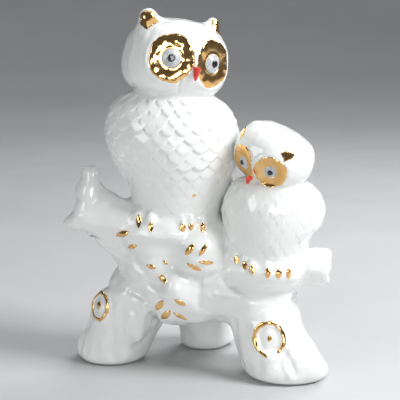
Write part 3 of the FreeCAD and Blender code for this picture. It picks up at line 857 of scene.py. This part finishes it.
def drop(w, h, lean=0.0, ragged=0.0, seed=0.0, taper=0.5):
    """Outline that is round above and drawn to a point below."""
    def outline(theta):
        c, s = np.cos(theta), np.sin(theta)
        wobble = 1 + ragged * (0.5 * np.sin(5 * theta + seed) + 0.5 * np.sin(11 * theta + 2 * seed))
        u = w * c * wobble * np.where(s < 0, 1 - taper * s * s, 1.0)
        v = h * s * wobble
        cl, sl = math.cos(math.radians(lean)), math.sin(math.radians(lean))
        return np.stack([u * cl - v * sl, u * sl + v * cl], 1)
    return outline


def add_film(name, node, slot, spot, outer_line, inner_line=None, rows=8, around=64,
             height=0.16, offset=(0.0, 0.0), ridge=0.0, arc=None):
    """A film between two outlines round a Spot. arc gives the ends, in degrees, of an open ring."""
    theta = np.linspace(0, 2 * math.pi, around, endpoint=False)
    if arc:
        theta = np.radians(np.linspace(arc[0], arc[1], around))
    out = outer_line(theta)
    inn = inner_line(theta) if inner_line else np.zeros_like(out)
    if arc:
        close = np.sqrt(np.clip(1 - np.abs(np.linspace(-1, 1, around)) ** 16, 0.12, 1))[:, None]
        centre = (out + inn) / 2
        out, inn = centre + (out - centre) * close, centre + (inn - centre) * close
    share = np.linspace(0.0 if inner_line else 0.02, 1.0, rows)
    plane = np.stack([inn + (out - inn) * s for s in share]) + np.asarray(offset)
    world = spot.middle + plane[..., :1] * spot.u + plane[..., 1:] * spot.v
    films.append(dict(name=name, node=node, slot=slot, world=world, out=spot.out, share=share,
                      ring=inner_line is not None, open=arc is not None, height=height, ridge=ridge))


for (owl, side), spot in EYES.items():
    node = f"{owl}_owl_{side}"
    k = spot.scale
    seed = 1.7 if side == "right" else 4.1
    iris = oval(spot.iris, spot.iris, ragged=0.02, seed=seed)
    pupil = oval(spot.pupil, spot.pupil, ragged=0.03, seed=seed)
    disc = oval(spot.w, spot.h, ragged=0.05, seed=seed)
    add_film(node + "_gilt_disc", node + "_eye_disc", "gold", spot, disc, iris, 16, 120, 0.2)
    add_film(node + "_grey_eye", node + "_eye_white", "eye_grey", spot, iris, pupil, 8, 72, 0.14)
    add_film(node + "_black_pupil", node + "_pupil", "black", spot, pupil, None, 8, 48, 0.34 * k)

for owl, side, turn, shape, offset in (
        ("large", "right", LARGE_TURN, drop(3.0, 3.6, -26.0, 0.05, 1.0, 0.62), (0.3, -0.4)),
        ("large", "left", LARGE_TURN, drop(2.5, 3.6, 20.0, 0.05, 3.0, 0.55), (0.2, 0.0)),
        ("small", "right", SMALL_TURN, drop(1.3, 1.7, 20.0, 0.05, 1.0, 0.55), (-1.2, -2.0)),
        ("small", "left", SMALL_TURN, drop(1.9, 1.8, 14.0, 0.06, 3.0, 0.72), (-0.5, -2.1))):
    node = f"{owl}_owl_{side}_ear_gold"
    add_film(f"{owl}_owl_{side}_gilt_ear", node, "gold", Spot(node_mid(node), turn, 1, 1), shape,
             None, 10, 64, 0.16, offset)

FRONT = turn_matrix(0.0)
LEAVES = {                        # half length, half width, slant from the level
    "bough_leaves": [(2.8, 1.15, 27), (2.2, 0.95, 30)],
    "middle_leaves": [(1.9, 0.95, -15), (2.0, 1.25, -42), (1.3, 0.6, -45)],
    "upper_sprig": [(2.7, 1.15, 55), (3.0, 1.0, -27), (2.8, 0.9, 57), (2.7, 0.9, -12)],
    "lower_sprig": [(2.9, 1.15, 57), (2.8, 1.25, 50), (3.2, 0.75, -34), (2.5, 0.95, -30)],
}
for group, shapes in LEAVES.items():
    for n, (middle, (long, wide, slant)) in enumerate(zip(node_marks(group), shapes)):
        line = oval(wide, long, lean=slant - 90, ragged=0.05, seed=n + 1.0, point=0.5)
        add_film(f"{group}_{n}", group, "gold", Spot(middle, FRONT, wide, long), line,
                 None, 8, 40, 0.18, ridge=0.22)

CLAWS = {                         # half length, half width and drop below the mark, one per claw
    "large_owl_right_claws": [(2.3, 1.0, -0.5), (1.9, 0.95, -0.9)],
    "large_owl_left_claws": [(1.5, 1.1, 0.0), (1.4, 0.95, 0.0), (1.7, 0.95, -0.9)],
    "small_owl_right_claws": [(1.6, 1.0, 0.0), (1.6, 0.95, -0.2), (1.7, 1.15, -0.1)],
    "small_owl_left_claws": [(1.9, 1.0, 0.0), (1.8, 1.15, 0.2), (2.0, 0.9, 0.3)],
}
for group, shapes in CLAWS.items():
    for n, (middle, (long, wide, low)) in enumerate(zip(node_marks(group), shapes)):
        line = drop(wide, long, ragged=0.06, seed=n + 1.0, taper=0.45)
        add_film(f"{group}_{n}", group, "gold", Spot(middle, FRONT, wide, long), line,
                 None, 8, 40, 0.2, (0.0, low), ridge=0.16)

for side, spot in KNOTS.items():
    node = side + "_knot_ring"
    if side == "right":
        add_film("right_gilt_ring", node, "gold", spot, drop(spot.w, spot.h, 0, 0.03, 2.2, 0.26),
                 drop(spot.w - 1.5, spot.h - 1.4, 0, 0.05, 0.6, 0.30), 7, 120, 0.18,
                 arc=(-50.0, 255.0))
    else:
        add_film("left_gilt_ring", node, "gold", spot, oval(spot.w, spot.h, 0, 0.05, 2.2),
                 oval(spot.w - 1.25, spot.h - 1.25, 0, 0.08, 0.6), 7, 110, 0.18)
    r = 0.85 if side == "right" else 1.2
    add_film(side + "_gilt_dot", side + "_knot_dot", "gold", spot,
             drop(r, r * 1.25, 0, 0.10, 1.0, 0.5), None, 6, 36, 0.2, (0.0, 0.4))

speck = Spot(node_mid("breast_dot"), FRONT, 0.7, 0.6)
add_film("breast_gilt_dot", "breast_dot", "gold", speck, oval(0.75, 0.55, 20, 0.12, 3.0), None, 5, 28, 0.18)


def drop_on_skin(world, out, highest):
    """Each point moved along the spot's axis to the surface it faces, not to a nearer neighbour."""
    landed = world.copy()
    direction = Vector(-out)
    for n, point in enumerate(world):
        for reach in (4.5, 2.2, 0.8, 0.0):
            hit = skin.ray_cast(Vector(point + out * reach), direction)[0]
            if hit is not None and -7.0 < (np.array(hit) - point) @ out < highest:
                landed[n] = hit
                break
    return landed


films_flat = np.concatenate([drop_on_skin(f["world"].reshape(-1, 3), f["out"],
                                          2.2 if "eye" in f["node"] else 4.5) for f in films])
films_flat = settle(films_flat, 2)
films_normal = outward(films_flat)

film_objects = []
start = 0
for f in films:
    rows, around = f["world"].shape[:2]
    size = rows * around
    base = films_flat[start:start + size].reshape(rows, around, 3)
    normal = films_normal[start:start + size].reshape(rows, around, 3)
    start += size
    # The film is full in the middle and thins to nothing at its edges, and it is closed below.
    edge = f["share"][:, None, None]
    if f["ring"]:
        away = np.minimum(edge, 1 - edge) * 2
    else:
        away = 1 - edge
    full = f["height"] * np.sqrt(1 - (1 - np.clip(away * 3.0, 0, 1)) ** 2) + f["ridge"] * away ** 1.2
    top = base + normal * (full - 0.02)
    under = base - normal * 0.22
    points = np.concatenate([top.reshape(-1, 3), under.reshape(-1, 3)])
    row = np.arange(around - 1 if f["open"] else around)
    after = (row + 1) % around
    faces = []
    for r in range(rows - 1):
        a, b = r * around, (r + 1) * around
        faces += [(a + i, b + i, b + j, a + j) for i, j in zip(row, after)]
        faces += [(size + a + j, size + b + j, size + b + i, size + a + i) for i, j in zip(row, after)]
        if f["open"]:
            i, j = a + around - 1, b + around - 1
            faces += [(a, size + a, size + b, b), (i, j, size + j, size + i)]
    last = (rows - 1) * around
    faces += [(last + i, size + last + i, size + last + j, last + j) for i, j in zip(row, after)]
    if f["ring"]:
        faces += [(j, size + j, size + i, i) for i, j in zip(row, after)]
    else:
        faces.append(tuple(row))
        faces.append(tuple(size + row[::-1]))
    thing = make_mesh(f["name"], points, faces)
    film_objects.append((thing, f))


# ---------------------------------------------------------------- beaks

def beak(name, node, matrix, wide, long, deep, shift):
    """A hooked drop: wide under the brow, drawn down to a point."""
    middle = node_mid(node) + matrix @ shift
    rows, around = 26, 32
    theta = np.linspace(0, 2 * math.pi, around, endpoint=False)
    points = []
    for n in range(rows):
        t = n / (rows - 1)
        z = long * math.cos(math.pi * t)
        taper = min(1.0, (t + 0.004) / 0.13) ** 0.5 * (1.0 - t) ** 0.8
        forward = -deep * 0.22 * math.sin(math.pi * t) - 0.10 * deep * t
        points.append(np.stack([
            wide * taper * np.cos(theta),
            forward + deep * taper * np.sin(theta),
            np.full(around, z),
        ], 1))
    local = np.concatenate(points[1:-1] + [points[0][:1] * (0, 1, 1), points[-1][:1] * (0, 1, 1)])
    count = (rows - 2) * around
    faces = []
    row = np.arange(around)
    after = (row + 1) % around
    for r in range(rows - 3):
        a, b = r * around, (r + 1) * around
        faces += [(a + i, b + i, b + j, a + j) for i, j in zip(row, after)]
    faces += [(count, i, j) for i, j in zip(row, after)]
    last = (rows - 3) * around
    faces += [(count + 1, last + j, last + i) for i, j in zip(row, after)]
    return make_mesh(name, middle + local @ matrix.T, faces)


beaks = [
    (beak("large_red_beak", "large_owl_beak", LARGE_TURN, 1.65, 2.4, 1.9, (0.1, 0.0, -0.1)),
     "large_owl_beak"),
    (beak("small_red_beak", "small_owl_beak", SMALL_TURN, 1.25, 1.4, 1.5, (0.1, -1.0, -1.4)),
     "small_owl_beak"),
]


# ---------------------------------------------------------------- materials

def material(name, build):
    made = bpy.data.materials.new(name)
    made.use_nodes = True
    tree = made.node_tree
    shader = tree.nodes["Principled BSDF"]
    build(tree, shader)
    return made


def noise(tree, scale, detail=3.0, stretch=(1, 1, 1)):
    where = tree.nodes.new("ShaderNodeTexCoord")
    mapping = tree.nodes.new("ShaderNodeMapping")
    mapping.inputs["Scale"].default_value = stretch
    texture = tree.nodes.new("ShaderNodeTexNoise")
    texture.inputs["Scale"].default_value = scale
    texture.inputs["Detail"].default_value = detail
    tree.links.new(where.outputs["Object"], mapping.inputs["Vector"])
    tree.links.new(mapping.outputs["Vector"], texture.inputs["Vector"])
    return texture.outputs["Fac"]


def ramp(tree, fac, stops):
    colours = tree.nodes.new("ShaderNodeValToRGB")
    while len(colours.color_ramp.elements) < len(stops):
        colours.color_ramp.elements.new(0.5)
    for element, (place, colour) in zip(colours.color_ramp.elements, stops):
        element.position = place
        element.color = (*colour, 1.0)
    tree.links.new(fac, colours.inputs["Fac"])
    return colours.outputs["Color"]


def spread(tree, fac, low, high):
    mapped = tree.nodes.new("ShaderNodeMapRange")
    mapped.inputs["From Min"].default_value = 0.3
    mapped.inputs["From Max"].default_value = 0.7
    mapped.inputs["To Min"].default_value = low
    mapped.inputs["To Max"].default_value = high
    tree.links.new(fac, mapped.inputs["Value"])
    return mapped.outputs["Result"]


def bump(tree, shader, fac, strength, distance):
    node = tree.nodes.new("ShaderNodeBump")
    node.inputs["Strength"].default_value = strength
    node.inputs["Distance"].default_value = distance
    tree.links.new(fac, node.inputs["Height"])
    tree.links.new(node.outputs["Normal"], shader.inputs["Normal"])


def porcelain(tree, shader):
    cloud = noise(tree, 55.0, 4.0)
    stops = [(0.30, (0.800, 0.822, 0.805)), (0.55, (0.848, 0.858, 0.850)), (0.80, (0.872, 0.872, 0.868))]
    tree.links.new(ramp(tree, cloud, stops), shader.inputs["Base Color"])
    tree.links.new(spread(tree, noise(tree, 320.0), 0.10, 0.17), shader.inputs["Roughness"])
    shader.inputs["IOR"].default_value = 1.52
    shader.inputs["Coat Weight"].default_value = 0.35
    shader.inputs["Coat Roughness"].default_value = 0.05
    bump(tree, shader, noise(tree, 210.0, 2.0), 0.10, 0.0004)


def gold(tree, shader):
    stops = [(0.30, (0.84, 0.47, 0.16)), (0.55, (0.93, 0.58, 0.24)), (0.80, (0.98, 0.68, 0.34))]
    tree.links.new(ramp(tree, noise(tree, 260.0, 3.0), stops), shader.inputs["Base Color"])
    shader.inputs["Metallic"].default_value = 1.0
    tree.links.new(spread(tree, noise(tree, 900.0), 0.06, 0.13), shader.inputs["Roughness"])
    bump(tree, shader, noise(tree, 420.0, 2.0), 0.22, 0.0004)


def eye_grey(tree, shader):
    stops = [(0.30, (0.46, 0.48, 0.52)), (0.55, (0.55, 0.57, 0.60)), (0.80, (0.63, 0.65, 0.68))]
    tree.links.new(ramp(tree, noise(tree, 700.0, 3.0), stops), shader.inputs["Base Color"])
    tree.links.new(spread(tree, noise(tree, 500.0), 0.12, 0.20), shader.inputs["Roughness"])
    bump(tree, shader, noise(tree, 600.0, 2.0), 0.08, 0.0003)


def black(tree, shader):
    stops = [(0.3, (0.008, 0.008, 0.011)), (0.7, (0.022, 0.022, 0.028))]
    tree.links.new(ramp(tree, noise(tree, 900.0, 3.0), stops), shader.inputs["Base Color"])
    tree.links.new(spread(tree, noise(tree, 500.0), 0.07, 0.12), shader.inputs["Roughness"])
    shader.inputs["Coat Weight"].default_value = 0.5


def red(tree, shader):
    stops = [(0.3, (0.56, 0.030, 0.022)), (0.55, (0.70, 0.050, 0.035)), (0.8, (0.80, 0.085, 0.055))]
    tree.links.new(ramp(tree, noise(tree, 500.0, 3.0), stops), shader.inputs["Base Color"])
    tree.links.new(spread(tree, noise(tree, 500.0), 0.16, 0.26), shader.inputs["Roughness"])
    bump(tree, shader, noise(tree, 700.0, 2.0), 0.10, 0.0003)


def floor_paint(tree, shader):
    stops = [(0.3, (0.52, 0.52, 0.53)), (0.7, (0.57, 0.57, 0.575))]
    tree.links.new(ramp(tree, noise(tree, 6.0, 3.0), stops), shader.inputs["Base Color"])
    tree.links.new(spread(tree, noise(tree, 40.0), 0.55, 0.70), shader.inputs["Roughness"])


FINISH = {
    "porcelain": material("white glazed porcelain", porcelain),
    "gold": material("burnished gold lustre", gold),
    "eye_grey": material("grey enamel", eye_grey),
    "black": material("black enamel", black),
    "red": material("red enamel", red),
}


def dress(thing, slot, *nodes):
    thing.data.materials.append(FINISH[slot])
    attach(thing, "root")
    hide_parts(*nodes)


for name, thing in castings.items():
    dress(thing, "porcelain", name)
for thing, f in film_objects:
    dress(thing, f["slot"], f["node"])
for thing, node in beaks:
    dress(thing, "red", node)


# ---------------------------------------------------------------- floor, light and camera

def floor_mesh():
    """A wide round floor, flat under the figurine and rising gently far from it."""
    around, points, faces = 72, [(0.0, 0.0, 0.0)], []
    for radius in (0.2, 0.4, 0.6, 0.75, 0.9, 1.05, 1.2, 1.35, 1.5, 1.65, 1.8):
        z = 0.42 * max(0.0, (radius - 0.6) / 1.2) ** 2
        for n in range(around):
            angle = 2 * math.pi * n / around
            points.append((radius * math.cos(angle), radius * math.sin(angle), z))
    for n in range(around):
        faces.append((0, 1 + n, 1 + (n + 1) % around))
    for ring in range(10):
        inner, outer = 1 + ring * around, 1 + (ring + 1) * around
        for n in range(around):
            m = (n + 1) % around
            faces.append((inner + n, outer + n, outer + m, inner + m))
    return make_mesh("studio_floor", np.array(points) * MM, faces)


floor = floor_mesh()
floor.data.materials.append(material("pale floor", floor_paint))


def lamp(name, place, aim, size, power, tint=(1.0, 1.0, 1.0)):
    light = bpy.data.lights.new(name, "AREA")
    light.shape = "RECTANGLE"
    light.size, light.size_y = size
    light.energy = power
    light.color = tint
    thing = bpy.data.objects.new(name, light)
    thing.location = place
    thing.rotation_euler = (Vector(aim) - Vector(place)).to_track_quat("-Z", "Y").to_euler()
    bpy.context.scene.collection.objects.link(thing)


AIM = (0.0, 0.0, 0.06)
lamp("key_right", (0.42, -0.16, 0.46), AIM, (0.22, 0.30), 3.9, (0.98, 0.99, 1.0))
lamp("top_back", (0.20, 0.32, 0.46), AIM, (0.34, 0.20), 1.4)
lamp("overhead", (0.0, 0.3, 1.6), (0.0, 0.3, 0.0), (1.6, 1.6), 6.0)
lamp("fill_left", (-0.46, -0.42, 0.22), AIM, (0.20, 0.34), 0.9, (0.94, 1.0, 0.97))
lamp("front_window", (0.10, -0.50, 0.15), AIM, (0.20, 0.10), 0.5, (1.0, 0.98, 0.95))

world = bpy.data.worlds.new("studio")
world.use_nodes = True
world.node_tree.nodes["Background"].inputs["Color"].default_value = (0.52, 0.54, 0.56, 1.0)
world.node_tree.nodes["Background"].inputs["Strength"].default_value = 0.20
bpy.context.scene.world = world
bpy.context.scene.view_settings.view_transform = "Standard"

# The camera looks from the front, a little above.
LOOK_AT = Vector((0.00065, -0.0035, 0.0622))
PITCH = math.radians(12.0)
camera_data = bpy.data.cameras.new("camera")
camera_data.lens = 100.4
camera_data.sensor_width = 36.0
camera_data.clip_start = 0.01
camera = bpy.data.objects.new("camera", camera_data)
camera.location = LOOK_AT + 0.400 * Vector((0.0, -math.cos(PITCH), math.sin(PITCH)))
camera.rotation_euler = (LOOK_AT - camera.location).to_track_quat("-Z", "Y").to_euler()
bpy.context.scene.collection.objects.link(camera)
bpy.context.scene.camera = camera
